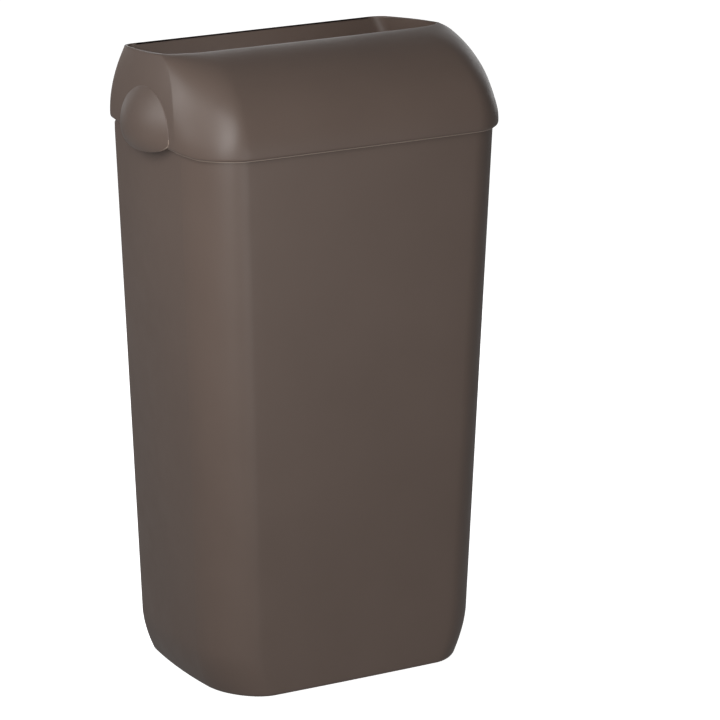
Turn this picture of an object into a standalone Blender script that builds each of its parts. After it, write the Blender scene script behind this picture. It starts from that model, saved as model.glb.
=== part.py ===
"""Hooded plastic waste bin that stands on a floor or hangs on a wall.

The bin is a tapered moulded tub with a domed hood over its rim. Rubbish goes in
through the mouth in the hood's top. A ring inside the rim holds the bag, and a
steel plate riveted into the rear recess hooks onto a steel wall bracket.

Metres, +Z up. The front faces -Y and the rear lies flat against a wall at +Y.
The origin is at the middle of the bin's footprint, on the floor.
"""

import math

import bmesh
import bpy
from mathutils import Matrix, Vector

# ---- tub ---------------------------------------------------------------
TUB_SIDE_TOP = 0.160        # half width at the front corners, at the hood's edge
TUB_SIDE_BASE = 0.1398      # the same at the floor, before the lower curve
TUB_FRONT_TOP = 0.1035      # how far the front stands from the origin, at the hood's edge
TUB_FRONT_BASE = 0.0806
REAR = 0.1105               # the flat rear, which is upright
REAR_NARROWING = 0.97       # half width at the rear, as a share of the front's
SIDE_CROWN = 0.0075         # how far the middle of a side bulges
FRONT_CROWN = 0.0015
CORNER_X = 0.038            # front corners: an ellipse this wide
CORNER_Y = 0.054            # and this deep
REAR_CORNER = 0.012
WALL = 0.0026
FLOOR = 0.0040              # thickness of the tub's floor
FOOT_LIFT = 0.0010          # the pads hold the tub this far off the ground
BASE_CURVE_HEIGHT = 0.0465  # the sides curve in below this height
BASE_CURVE_INSET = 0.0125
BASE_CURVE_POWER = 1.76
BASE_CURVE_STEPS = (0.012, 0.022, 0.034)   # heights sampled in that curve
BASE_EDGE = 0.0030          # rounding of the bottom edge
BASE_EDGE_TURN = 0.3        # where its middle ring lies
FLOOR_ROUND = 0.0020        # rounding inside, where the sides meet the floor
SHOULDER = 0.5300           # the tub stops widening here, under the hood's edge
REAR_STEP = 0.0046          # the rim's rear steps in to clear the hood
REAR_SHOULDER = 0.5380      # where that step starts
REAR_STEP_HEIGHT = 0.004
INNER_STEP_RISE = 0.001
SHOULDER_OVERLAP = 0.006    # the step inside starts this much lower, to keep the wall's thickness
RIM = 0.5500                # top of the tub

# ---- hood --------------------------------------------------------------
HOOD_EDGE = 0.5328          # lower edge of the hood
HOOD_SPRING = 0.5393        # height where the dome starts to curve
HOOD_TOP = 0.6190           # the mouth's front edge
EDGE_RISE = 0.0100          # the lower edge rises this much along each side
EDGE_RISE_FROM = -0.075     # from here back
EDGE_RISE_RUN = 0.175
EDGE_RISE_POWER = 0.65
CORNER_FADE = 0.7           # how the front corners tighten up the dome
HOOD_OVERHANG = 0.0055      # how far the hood stands out from the tub
HOOD_WALL = 0.0026
HOOD_REAR = 0.1091
MOUTH_FRONT = 0.0064        # the mouth's front edge, in front of the origin
MOUTH_TILT = 0.0083         # the mouth's rear edge is this much lower than its front
CHEEK_LEAN = 0.0185         # how far the cheeks lean in at the top
MOUTH_CORNER_X = 0.034
MOUTH_CORNER_Y = 0.020
LIFT_GAP = 0.0006           # clearance to the tub as the hood lifts off
LIP_INSIDE = 0.0010         # how far the hood's lower lip stands off the tub
LIP_THICKNESS = 0.0012
LIP_ROUND = 0.0016

EAR_Y = 0.0157              # the ears are the round grips on the cheeks
EAR_Z = 0.5445              # where they are widest
EAR_HALF_WIDTH = 0.0557
EAR_ABOVE = 0.0437          # from there to the top of the ear
EAR_BELOW = 0.0155          # and down to its lower rim
EAR_SIDE = 0.1694           # half width of the cheeks at the middle of the hood
EAR_TAPER = 0.0554          # how the cheeks run in towards the rear
EAR_LEAN = 0.0042           # how far the cheeks lean in beside the top of the ear
EAR_BULGE = 0.01338         # how far the ears stand off the cheeks
EAR_RIM = 0.65              # share of that left at the lower rim, where fingers pull
EAR_ROOT = 0.150            # how far in their solid starts, inside the cheeks
EAR_POINTS = 28
EAR_RINGS = 8
EAR_TIP = 0.04              # share of their width left flat at the tip
EAR_CUT_FROM = 0.505        # below every ear

SEAT_RIB_Y = (-0.058, 0.090)   # ribs inside the hood that rest on the bag ring
SEAT_RIB_SIZE = Vector((0.0070, 0.0030, 0.0100))
SEAT_RIB_SUNK = 0.0008      # the ribs end this far inside the middle of the wall

# ---- bag ring ----------------------------------------------------------
GAP = 0.0003                # between touching pieces
RING_THICKNESS = 0.0022
RING_OVERLAP = 0.0002       # how far the ring's flange passes the tub's rim
RING_REACH = 0.0140         # how far it reaches into the tub
RING_SKIRT = 0.0165
RING_CLEARANCE = 0.0010     # room above the ring, inside the ears

# ---- wall fixing -------------------------------------------------------
RECESS_HALF = 0.100
RECESS_DEPTH = 0.0140
RECESS_LOW = 0.4150
RECESS_HIGH = 0.5250
RECESS_FLOOR = REAR - RECESS_DEPTH
STEEL = 0.0020
HANGER_HALF = 0.092
HANGER_LOW = 0.4220
HANGER_HIGH = 0.5180
HANGER_FLANGE = 0.0150      # height of each riveted flange
HANGER_STAND = 0.0055       # the middle stands this far off the recess's floor
RIVET_X = 0.078
RIVET_SHANK = 0.0024
RIVET_HOLE = 0.0027
RIVET_HEAD = 0.0050
RIVET_TAIL = 0.0040
RIVET_TAIL_HEIGHT = 0.0018
RIVET_DOME = ((1.0, 0.0006), (0.72, 0.0017), (0.30, 0.0023))    # share of the head's radius, height
HOOK_X = 0.045
HOOK_HALF = 0.011
HOOK_ROOT = 0.4620          # height of the hooks' bend
HOOK_INSET = 0.0004         # the hooks' backs lie this far inside the wall face
HOOK_TIP = 0.0012
WINDOW_SIDE = 0.0015        # the windows behind the hooks: space at each side
WINDOW_LOW = 0.001
WINDOW_HIGH = 0.018
HOOK_LENGTH = 0.0110        # rise of a hook, and its reach, as it leans at 45 degrees
SLOT_LOW = 0.4565
SLOT_HIGH = 0.4712
SLOT_HALF = 0.014
BRACKET_HALF = 0.080
BRACKET_LOW = 0.4480
BRACKET_HIGH = 0.5080
SCREW_X = 0.064
SCREW_Z = 0.4930
SCREW_HOLE = 0.0026
SCREW_SINK = 1.9            # the countersink widens to this many times the hole
SCREW_SINK_DEPTH = 0.0013

# ---- feet --------------------------------------------------------------
FOOT_X = 0.088
FOOT_Y = (-0.052, 0.082)
FOOT_RADIUS = 0.0100
FOOT_HEIGHT = 0.0030
FOOT_EDGE = 0.0006
FOOT_CLEARANCE = 0.0003

# ---- making ------------------------------------------------------------
ROUND = 16                  # sides on small round pieces
CUT_PAST = 0.001            # how far a cutter passes the face it cuts
SHARP_ANGLE = math.radians(32)
HOOD_TURNS = (0, 10, 20, 30, 40, 50, 60, 69, 77, 84, 90)    # degrees up the dome
CLEARANCE_TURNS = (15, 22, 30, 40, 50)

COLOURS = {
    "brown_plastic": ((0.105, 0.083, 0.070, 1.0), 0.42, 0.0),
    "dark_plastic": ((0.030, 0.029, 0.028, 1.0), 0.50, 0.0),
    "zinc_steel": ((0.560, 0.570, 0.580, 1.0), 0.35, 1.0),
    "aluminium": ((0.750, 0.750, 0.740, 1.0), 0.30, 1.0),
    "black_rubber": ((0.020, 0.020, 0.021, 1.0), 0.80, 0.0),
}


def clear_scene():
    for obj in list(bpy.data.objects):
        bpy.data.objects.remove(obj, do_unlink=True)


def material(name):
    made = bpy.data.materials.get(name)
    if made:
        return made
    colour, roughness, metallic = COLOURS[name]
    made = bpy.data.materials.new(name)
    made.use_nodes = True
    shader = made.node_tree.nodes["Principled BSDF"]
    shader.inputs["Base Color"].default_value = colour
    shader.inputs["Roughness"].default_value = roughness
    shader.inputs["Metallic"].default_value = metallic
    return made


def mix(low, high, share):
    return low + (high - low) * share


# ---- outlines ----------------------------------------------------------

def arc(cx, cy, rx, ry, start, end, steps):
    points = []
    for i in range(steps + 1):
        turn = math.radians(mix(start, end, i / steps))
        points.append((cx + rx * math.cos(turn), cy + ry * math.sin(turn)))
    return points


def outline(side, front, rear, corner_x, corner_y, rear_corner):
    """A rounded plan, symmetrical in X: small rear corners, large front corners."""
    side_rear = side * REAR_NARROWING
    half = arc(side_rear - rear_corner, rear - rear_corner, rear_corner, rear_corner, 90, 0, 4)
    side_start = half[-1]
    side_end = (side, corner_y - front)
    for i in range(1, 6):
        share = i / 6
        half.append((mix(side_start[0], side_end[0], share), mix(side_start[1], side_end[1], share)))
    half += arc(side - corner_x, corner_y - front, corner_x, corner_y, 0, -90, 8)
    front_half = side - corner_x
    half += [(front_half * (1 - i / 3), -front) for i in (1, 2)]
    middle = (rear - front) / 2
    reach = (rear + front) / 2
    crowned = []
    for x, y in half:
        along = max(0.0, 1 - ((y - middle) / reach) ** 2)
        bulge = SIDE_CROWN * along * (x / side) ** 2
        ahead = max(0.0, -y / front)
        crowned.append((x + bulge, y - FRONT_CROWN * ahead ** 2 * (1 - (x / side) ** 2)))
    mirrored = [(-x, y) for x, y in reversed(crowned)]
    return crowned + [(0.0, -front - FRONT_CROWN)] + mirrored + [(0.0, rear)]


def tub_outline(height, grow=0.0):
    """The tub's outside at a height, moved outwards by grow."""
    share = min(height, SHOULDER) / SHOULDER
    curve = max(0.0, 1 - height / BASE_CURVE_HEIGHT) ** BASE_CURVE_POWER
    side = mix(TUB_SIDE_BASE, TUB_SIDE_TOP, share) - BASE_CURVE_INSET * curve + grow
    front = mix(TUB_FRONT_BASE, TUB_FRONT_TOP, share) + grow
    rear = REAR + grow
    if height > REAR_SHOULDER:
        rear -= REAR_STEP
    return outline(side, front, rear, CORNER_X + grow, CORNER_Y + grow, max(REAR_CORNER + grow, 0.004))


def at_height(points, height):
    return [Vector((x, y, height)) for x, y in points]


def tub_ring(height, grow=0.0):
    return at_height(tub_outline(height, grow), height)


def edge_lift(y):
    """How far the hood's lower edge has risen above its front."""
    share = min(max((y - EDGE_RISE_FROM) / EDGE_RISE_RUN, 0.0), 1.0)
    return EDGE_RISE * share ** EDGE_RISE_POWER


def edge_ring(above, grow):
    """A ring beside the hood's lower edge, following its rise."""
    return [Vector((x, y, HOOD_EDGE + above + edge_lift(y))) for x, y in tub_outline(RIM, grow)]


def hood_ring(turn, inside=0.0):
    """The hood's section where its front profile has turned by an angle, 0 to 90 degrees."""
    rise = math.sin(math.radians(turn))
    run = math.cos(math.radians(turn))
    side = TUB_SIDE_TOP + HOOD_OVERHANG - inside - CHEEK_LEAN * rise ** 2
    reach = TUB_FRONT_TOP + HOOD_OVERHANG - MOUTH_FRONT - inside
    front = MOUTH_FRONT + reach * run
    corner_x = mix(CORNER_X + HOOD_OVERHANG, MOUTH_CORNER_X, rise) - inside
    corner_y = mix(MOUTH_CORNER_Y, CORNER_Y + HOOD_OVERHANG, run ** CORNER_FADE) - inside
    plan = outline(side, front, HOOD_REAR - inside, corner_x, corner_y, REAR_CORNER)
    ring = []
    for x, y in plan:
        back = (y + MOUTH_FRONT) / (HOOD_REAR + MOUTH_FRONT)
        top = HOOD_TOP - MOUTH_TILT * min(max(back, 0.0), 1.0)
        under = inside * rise * (1 - min(max((y + front) / corner_y, 0.0), 1.0))
        ring.append(Vector((x, y, mix(HOOD_SPRING + edge_lift(y), top, rise) - under)))
    return ring


# ---- solids ------------------------------------------------------------

def add_object(name, mesh, finish=None):
    made = bpy.data.objects.new(name, mesh)
    bpy.context.scene.collection.objects.link(made)
    if finish:
        mesh.materials.append(material(finish))
    return made


def finish_mesh(mesh_data, name):
    bmesh.ops.recalc_face_normals(mesh_data, faces=mesh_data.faces)
    mesh = bpy.data.meshes.new(name)
    mesh_data.to_mesh(mesh)
    mesh_data.free()
    mesh.shade_smooth()
    mesh.set_sharp_from_angle(angle=SHARP_ANGLE)
    return mesh


def loft(name, rings, finish=None, closed=False):
    """Skin a row of rings. A closed loft joins its last ring to its first; others get end caps."""
    work = bmesh.new()
    loops = [[work.verts.new(point) for point in ring] for ring in rings]
    pairs = list(zip(loops, loops[1:]))
    if closed:
        pairs.append((loops[-1], loops[0]))
    for lower, upper in pairs:
        for i in range(len(lower)):
            work.faces.new((lower[i - 1], lower[i], upper[i], upper[i - 1]))
    if not closed:
        work.faces.new(loops[0])
        work.faces.new(loops[-1])
    return add_object(name, finish_mesh(work, name), finish)


def block(name, low, high, finish=None):
    """A box between two corners."""
    low, high = Vector(low), Vector(high)
    work = bmesh.new()
    bmesh.ops.create_cube(work, size=1.0)
    size = high - low
    bmesh.ops.scale(work, vec=size, verts=work.verts)
    bmesh.ops.translate(work, vec=(low + high) / 2, verts=work.verts)
    return add_object(name, finish_mesh(work, name), finish)


def turned(name, profile, centre, axis, finish=None):
    """Turn a profile of (radius, distance along the axis) pairs; axis is 'Y' or 'Z'."""
    rings = []
    for radius, along in profile:
        ring = []
        for i in range(ROUND):
            turn = 2 * math.pi * i / ROUND
            across = (radius * math.cos(turn), radius * math.sin(turn))
            spot = (across[0], along, across[1]) if axis == "Y" else (across[0], across[1], along)
            ring.append(Vector(spot) + Vector(centre))
        rings.append(ring)
    return loft(name, rings, finish)


def sheet(name, profile, half_width, finish):
    """A bent sheet: a closed (y, z) profile drawn out along X."""
    work = bmesh.new()
    verts = [work.verts.new((-half_width, y, z)) for y, z in profile]
    face = work.faces.new(verts)
    moved = bmesh.ops.extrude_face_region(work, geom=[face])["geom"]
    new_verts = [item for item in moved if isinstance(item, bmesh.types.BMVert)]
    bmesh.ops.translate(work, vec=(2 * half_width, 0, 0), verts=new_verts)
    return add_object(name, finish_mesh(work, name), finish)


def combine(target, other, operation):
    """Boolean with another solid, which is used up."""
    change = target.modifiers.new(other.name, "BOOLEAN")
    change.operation = operation
    change.solver = "EXACT"
    change.object = other
    view = bpy.context.view_layer
    view.update()
    result = bpy.data.meshes.new_from_object(target.evaluated_get(view.depsgraph))
    target.modifiers.remove(change)
    old = target.data
    target.data = result
    bpy.data.meshes.remove(old)
    bpy.data.objects.remove(other, do_unlink=True)


def tidy_shading(obj):
    obj.data.shade_smooth()
    obj.data.set_sharp_from_angle(angle=SHARP_ANGLE)


# ---- pieces ------------------------------------------------------------

def rivet_spots():
    heights = (HANGER_LOW + HANGER_FLANGE / 2, HANGER_HIGH - HANGER_FLANGE / 2)
    names = (("lower", heights[0]), ("upper", heights[1]))
    sides = (("left", -RIVET_X), ("right", RIVET_X))
    return [(f"{level}_{hand}", x, z) for level, z in names for hand, x in sides]


def foot_spots():
    names = (("front", FOOT_Y[0]), ("rear", FOOT_Y[1]))
    sides = (("left", -FOOT_X), ("right", FOOT_X))
    return [(f"{end}_{hand}", x, y) for end, y in names for hand, x in sides]


def make_tub():
    base = FOOT_LIFT
    turned_up = BASE_EDGE_TURN * BASE_EDGE
    outer = [tub_ring(base, -BASE_EDGE)]
    outer.append(at_height(tub_outline(base + turned_up, -turned_up), base + turned_up))
    outer += [tub_ring(height) for height in (base + BASE_EDGE, *BASE_CURVE_STEPS, BASE_CURVE_HEIGHT)]
    outer += [tub_ring(height) for height in (SHOULDER, REAR_SHOULDER, REAR_SHOULDER + REAR_STEP_HEIGHT, RIM)]
    floor = base + FLOOR
    inner_heights = [RIM, REAR_SHOULDER + INNER_STEP_RISE, REAR_SHOULDER - SHOULDER_OVERLAP, BASE_CURVE_HEIGHT]
    inner = [tub_ring(height, -WALL) for height in (*inner_heights, *reversed(BASE_CURVE_STEPS))]
    inner.append(at_height(tub_outline(floor, -WALL - FLOOR_ROUND), floor))
    tub = loft("tub_body", outer + inner, "brown_plastic")

    bump_low = (-RECESS_HALF - WALL, RECESS_FLOOR - WALL, RECESS_LOW - WALL)
    bump_high = (RECESS_HALF + WALL, REAR - WALL / 2, RECESS_HIGH + WALL)
    combine(tub, block("bump", bump_low, bump_high), "UNION")
    recess_low = (-RECESS_HALF, RECESS_FLOOR, RECESS_LOW)
    recess_high = (RECESS_HALF, REAR + CUT_PAST, RECESS_HIGH)
    combine(tub, block("recess", recess_low, recess_high), "DIFFERENCE")
    for spot, x, z in rivet_spots():
        hole = turned("hole_" + spot, [(RIVET_HOLE, -0.006), (RIVET_HOLE, 0.006)], (x, RECESS_FLOOR, z), "Y")
        combine(tub, hole, "DIFFERENCE")
    for spot, x, y in foot_spots():
        radius = FOOT_RADIUS + FOOT_CLEARANCE
        depth = FOOT_HEIGHT + GAP
        pocket = turned("pocket_" + spot, [(radius, -0.005), (radius, depth)], (x, y, 0), "Z")
        combine(tub, pocket, "DIFFERENCE")
    tidy_shading(tub)
    return tub


def ear_solid(name, hand, shrink):
    """The grip on a cheek: domed, flush with the cheek above and standing off the tub below."""
    def rim_ring(share, side=None):
        ring = []
        for i in range(EAR_POINTS):
            turn = 2 * math.pi * i / EAR_POINTS
            along, up = share * math.cos(turn), share * math.sin(turn)
            height = EAR_ABOVE if up > 0 else EAR_BELOW
            y = EAR_Y + (EAR_HALF_WIDTH - shrink) * along
            z = EAR_Z + (height - shrink) * up
            lean = EAR_LEAN * up * up if up > 0 else 0.0
            drop = up * up * (1.0 if up > 0 else 1.0 - EAR_RIM)
            x = EAR_SIDE - EAR_TAPER * y - lean + EAR_BULGE * (1 - along * along - drop) - shrink
            ring.append(Vector((hand * (x if side is None else side), y, z)))
        return ring

    root = rim_ring(1.0, EAR_ROOT - shrink)
    shares = [math.sin(math.pi / 2 * i / EAR_RINGS) for i in range(EAR_RINGS, 0, -1)]
    return loft(name, [root] + [rim_ring(share) for share in shares + [EAR_TIP]])


def make_hood():
    lower_outer = edge_ring(0.0, LIP_INSIDE + LIP_THICKNESS)
    rounding = edge_ring(LIP_ROUND, HOOD_OVERHANG - LIP_ROUND)
    lower_inner = edge_ring(LIP_ROUND / 2, LIP_INSIDE)
    inner_step = edge_ring(2 * LIP_ROUND, LIP_INSIDE + LIP_THICKNESS)
    outer = [lower_outer, rounding] + [hood_ring(turn) for turn in HOOD_TURNS]
    inner = [hood_ring(turn, HOOD_WALL) for turn in reversed(HOOD_TURNS)]
    hood = loft("hood", outer + inner + [inner_step, lower_inner], "brown_plastic", closed=True)
    for hand, side in ((-1, "left"), (1, "right")):
        combine(hood, ear_solid("ear_" + side, hand, 0.0), "UNION")
        combine(hood, ear_solid("ear_hollow_" + side, hand, HOOD_WALL), "DIFFERENCE")
    combine(hood, loft("tub_clearance", clearance_rings()), "DIFFERENCE")
    rest = RIM + GAP + RING_THICKNESS + GAP
    for hand, side in ((-1, "left"), (1, "right")):
        for i, y in enumerate(SEAT_RIB_Y):
            middle = hand * (rib_side(y) - SEAT_RIB_SIZE.x / 2)
            low = (middle - SEAT_RIB_SIZE.x / 2, y - SEAT_RIB_SIZE.y / 2, rest)
            high = (middle + SEAT_RIB_SIZE.x / 2, y + SEAT_RIB_SIZE.y / 2, rest + SEAT_RIB_SIZE.z)
            combine(hood, block(f"rib_{side}_{i}", low, high), "UNION")
    tidy_shading(hood)
    return hood


def clearance_rings():
    """The space that the ears keep out of: the tub's, and then the dome's inside."""
    tub_top = tub_outline(RIM, LIFT_GAP)
    above_ring = RIM + RING_THICKNESS + 3 * GAP + RING_CLEARANCE
    rings = [at_height(tub_top, height) for height in (EAR_CUT_FROM, above_ring)]
    inside = HOOD_OVERHANG - LIFT_GAP
    return rings + [hood_ring(turn, inside) for turn in CLEARANCE_TURNS]


def rib_side(y):
    """Half width inside the hood's wall at a seat rib."""
    ring = tub_outline(SHOULDER, HOOD_OVERHANG - HOOD_WALL / 2)
    beside = [(abs(point[1] - y), point[0]) for point in ring if point[0] > TUB_SIDE_TOP / 2]
    return min(beside)[1] - SEAT_RIB_SUNK


def make_bag_ring():
    top = RIM + GAP + RING_THICKNESS
    under = RIM + GAP
    foot = top - RING_SKIRT
    section = [
        (RING_OVERLAP, under),
        (RING_OVERLAP, top),
        (-RING_REACH, top),
        (-RING_REACH, foot),
        (RING_THICKNESS - RING_REACH, foot),
        (RING_THICKNESS - RING_REACH, under),
    ]
    rings = [at_height(tub_outline(RIM, grow), height) for grow, height in section]
    return loft("bag_ring", rings, "dark_plastic", closed=True)


def make_hanger():
    back = RECESS_FLOOR + GAP
    face = back + STEEL
    web_back = back + HANGER_STAND
    web_face = web_back + STEEL
    low_bend = HANGER_LOW + HANGER_FLANGE
    high_bend = HANGER_HIGH - HANGER_FLANGE
    profile = [
        (back, HANGER_LOW), (face, HANGER_LOW), (face, low_bend - STEEL), (web_face, low_bend - STEEL),
        (web_face, high_bend + STEEL), (face, high_bend + STEEL), (face, HANGER_HIGH), (back, HANGER_HIGH),
        (back, high_bend), (web_back, high_bend), (web_back, low_bend), (back, low_bend),
    ]
    plate = sheet("hanger_plate", profile, HANGER_HALF, "zinc_steel")
    for side, x in (("left", -HOOK_X), ("right", HOOK_X)):
        low = (x - SLOT_HALF, web_back - CUT_PAST, SLOT_LOW)
        high = (x + SLOT_HALF, web_face + CUT_PAST, SLOT_HIGH)
        combine(plate, block("slot_" + side, low, high), "DIFFERENCE")
    for spot, x, z in rivet_spots():
        hole = turned("hole_" + spot, [(RIVET_HOLE, -STEEL), (RIVET_HOLE, 3 * STEEL)], (x, back, z), "Y")
        combine(plate, hole, "DIFFERENCE")
    return plate


def make_rivets():
    head = RECESS_FLOOR + GAP + STEEL + GAP
    tail = RECESS_FLOOR - WALL - GAP
    profile = [
        (RIVET_TAIL, tail - RIVET_TAIL_HEIGHT), (RIVET_TAIL, tail), (RIVET_SHANK, tail), (RIVET_SHANK, head),
        (RIVET_HEAD, head),
    ]
    profile += [(RIVET_HEAD * share, head + height) for share, height in RIVET_DOME]
    for spot, x, z in rivet_spots():
        turned("hanger_rivet_" + spot, profile, (x, 0, z), "Y", "aluminium")


def make_bracket():
    """A steel wall plate with two hooks bent forwards and up at 45 degrees."""
    wall_face = REAR
    front_face = REAR - STEEL
    low = (-BRACKET_HALF, front_face, BRACKET_LOW)
    high = (BRACKET_HALF, wall_face, BRACKET_HIGH)
    bracket = block("wall_bracket", low, high, "zinc_steel")
    lean = STEEL * math.sqrt(2)
    for side, x in (("left", -HOOK_X), ("right", HOOK_X)):
        window_low = (x - HOOK_HALF - WINDOW_SIDE, front_face - CUT_PAST, HOOK_ROOT + WINDOW_LOW)
        window_high = (x + HOOK_HALF + WINDOW_SIDE, wall_face + CUT_PAST, HOOK_ROOT + WINDOW_HIGH)
        combine(bracket, block("window_" + side, window_low, window_high), "DIFFERENCE")
        tip_y = front_face - HOOK_LENGTH
        profile = [
            (wall_face - HOOK_INSET, HOOK_ROOT - lean), (wall_face - HOOK_INSET, HOOK_ROOT),
            (tip_y, HOOK_ROOT + HOOK_LENGTH + STEEL - HOOK_INSET), (tip_y, HOOK_ROOT + HOOK_LENGTH - HOOK_TIP),
        ]
        hook = sheet("hook_" + side, profile, HOOK_HALF, None)
        hook.data.transform(Matrix.Translation((x, 0, 0)))
        combine(bracket, hook, "UNION")
    for side, x in (("left", -SCREW_X), ("right", SCREW_X)):
        sink = [(SCREW_HOLE * SCREW_SINK, -CUT_PAST), (SCREW_HOLE, SCREW_SINK_DEPTH), (SCREW_HOLE, 2 * STEEL)]
        combine(bracket, turned("screw_" + side, sink, (x, front_face, SCREW_Z), "Y"), "DIFFERENCE")
    return bracket


def make_feet():
    profile = [(FOOT_RADIUS - FOOT_EDGE, 0.0), (FOOT_RADIUS, FOOT_EDGE), (FOOT_RADIUS, FOOT_HEIGHT)]
    for spot, x, y in foot_spots():
        turned("foot_pad_" + spot, profile, (x, y, 0), "Z", "black_rubber")


def main():
    clear_scene()
    make_tub()
    make_hood()
    make_bag_ring()
    make_hanger()
    make_rivets()
    make_bracket()
    make_feet()


main()
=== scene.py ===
import math

import bmesh
import bpy
from mathutils import Matrix, Vector


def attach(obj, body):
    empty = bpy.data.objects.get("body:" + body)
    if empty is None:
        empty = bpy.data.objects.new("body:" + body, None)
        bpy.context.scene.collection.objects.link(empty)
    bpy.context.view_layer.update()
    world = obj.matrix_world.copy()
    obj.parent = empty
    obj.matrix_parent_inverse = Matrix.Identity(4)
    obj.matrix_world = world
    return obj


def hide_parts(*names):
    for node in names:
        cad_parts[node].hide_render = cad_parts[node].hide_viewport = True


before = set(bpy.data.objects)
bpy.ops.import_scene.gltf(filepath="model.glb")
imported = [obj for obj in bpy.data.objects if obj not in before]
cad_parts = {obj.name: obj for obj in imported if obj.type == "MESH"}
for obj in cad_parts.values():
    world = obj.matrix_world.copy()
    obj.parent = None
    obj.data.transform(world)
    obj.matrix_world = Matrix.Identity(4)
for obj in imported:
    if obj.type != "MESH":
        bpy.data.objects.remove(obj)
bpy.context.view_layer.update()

# ---- dimensions of the bin, metres -------------------------------------
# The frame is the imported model's: -Y is the front, +Y the wall, Z is up.

# Tub
TUB_SIDE_TOP = 0.1600       # half width at the shoulder
TUB_SIDE_BASE = 0.1398      # and at the floor
TUB_FRONT_TOP = 0.1035      # how far the front stands forward of the origin at the shoulder
TUB_FRONT_BASE = 0.0806     # and at the floor
REAR = 0.1105               # the flat rear
REAR_NARROWING = 0.97       # the sides' half width at the rear, as a share of that in front
SIDE_CROWN = 0.0075         # how far the sides bulge
FRONT_CROWN = 0.0015        # and the front
CORNER_X = 0.038            # front corners are ellipses in plan
CORNER_Y = 0.054
REAR_CORNER = 0.012
LEAST_REAR_CORNER = 0.004
WALL = 0.0026
FLOOR = 0.0040
FLOOR_ROUND = 0.006         # inside, between the wall and the floor
FOOT_LIFT = 0.0010          # the pads hold the base off the ground
BASE_CURVE_HEIGHT = 0.0465  # the base draws in below this
BASE_CURVE_INSET = 0.0125
BASE_CURVE_POWER = 1.76
BASE_EDGE = 0.003
BASE_INSIDE_HEIGHTS = (0.038, 0.030, 0.023, 0.017)      # the inner skin's rings in the base curve
SHOULDER = 0.530            # the taper ends here
REAR_STEP = 0.0046          # the rear steps in at its top, for the hood
REAR_SHOULDER = 0.5380
REAR_STEP_HEIGHT = 0.004
REAR_STEP_INSIDE = (0.003, 0.0022, 0.0014, 0.0006, -0.001)     # over the shoulder, for the inner skin
RIM = 0.5500
RIM_BAND = 0.004            # straight wall under the rounded rim

# Hood
HOOD_EDGE = 0.5328          # the lower edge at the front
HOOD_SPRING = 0.5393        # the dome starts here
HOOD_TOP = 0.6190           # the mouth's front edge
HOOD_OVERHANG = 0.0055      # how far the hood stands outside the tub
HOOD_WALL = 0.0026
HOOD_REAR = 0.1091
EDGE_RISE = 0.0100          # the lower edge rises this much along each side
EDGE_RISE_FROM = -0.075     # from here back
EDGE_RISE_RUN = 0.175
EDGE_RISE_POWER = 0.65
CORNER_FADE = 0.7           # how the front corners tighten up the dome
CHEEK_LEAN = 0.0185         # how far the cheeks lean in at the top
HOOD_CREASE = 16.0          # degrees the surface breaks by where the cheek meets the corner
CREASE_SETTLE = 0.40        # share of the dome's height over which the crease grows to that
CREASE_ROUND = 0.0011       # reach of the small round on the crease
MOUTH_FRONT = 0.0064        # how far the mouth's front edge stands forward of the origin
MOUTH_TILT = 0.0083         # how much lower its rear edge is
MOUTH_CORNER_X = 0.034
MOUTH_CORNER_Y = 0.020
LIP_INSIDE = 0.0010         # the lip along the lower edge, which carries a painted highlight, measured outwards from the tub
LIP_OUTSIDE = 0.0030
LIP_HEIGHT = 0.0011
LIP_INSIDE_SOFT = 0.0004    # its bevels
LIP_OUTSIDE_SOFT = 0.0003
LIP_TUCK = 0.0002           # it ends this far below the fold over it
UNDER_LOW = 0.0016          # the inner skin's first rings above the lip
UNDER_HIGH = 0.0040
UNDER_SLOPE = 0.0014
LIFT_GAP = 0.0006           # between the hood and the tub that it lifts off
SEAT_RIB_Y = (-0.058, 0.090)    # ribs inside the hood that rest on the bag ring
SEAT_RIB_SIZE = Vector((0.0070, 0.0030, 0.0100))
SEAT_RIB_SUNK = (0.0014, 0.0)   # the front ones stop short of the creased wall
SEAT_RIB_INSIDE = 0.0008        # and every rib ends this far inside the middle of the wall

# Ears: the round grips on the hood's cheeks
EAR_Y = 0.0157
EAR_Z = 0.5445              # where they are widest
EAR_HALF_WIDTH = 0.0557
EAR_ABOVE = 0.0437          # from there to the top of the ear
EAR_BELOW = 0.0155          # and down to its lower rim
EAR_SIDE = 0.1694           # half width of the cheeks at the middle of the hood
EAR_TAPER = 0.0554          # how the cheeks run in towards the rear
EAR_LEAN = 0.0042           # how far the cheeks lean in beside the top of the ear
EAR_BULGE = 0.01329         # how far the ears stand off the cheeks
EAR_RIM = 0.65              # share of that left at the lower rim, where fingers pull
EAR_ROOT = 0.150            # the solid starts here, inside the cheek
EAR_POINTS = 96
EAR_RINGS = 26
EAR_DOME = 0.97             # share of the ear's size that its outermost dome ring has
EAR_SOFT = 0.0009           # the edge of the ear's lower rim, which carries a painted highlight
EAR_CUT_FROM = 0.505        # below every ear
EAR_CUT_ABOVE_RING = 0.0010
EAR_CUT_TURNS = (15, 22, 30, 40, 50)    # degrees up the dome

# Bag ring
GAP = 0.0003                # between pieces that rest on each other
RING_THICKNESS = 0.0022
RING_OVERLAP = 0.0002
RING_REACH = 0.0140
RING_SKIRT = 0.0165
RING_SOFT = 0.0007

# Recess in the rear wall
RECESS_HALF = 0.100
RECESS_DEPTH = 0.0140
RECESS_LOW = 0.4150
RECESS_HIGH = 0.5250
RECESS_FLOOR = REAR - RECESS_DEPTH
RECESS_CORNER = 0.008
RECESS_LEAST_CORNER = 0.002
RECESS_EDGE = 0.0035        # round between its walls and its floor
RECESS_FLARE = 0.0022       # round on its lip
BUMP_EDGE = 0.004           # the same round, seen from inside the tub

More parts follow.
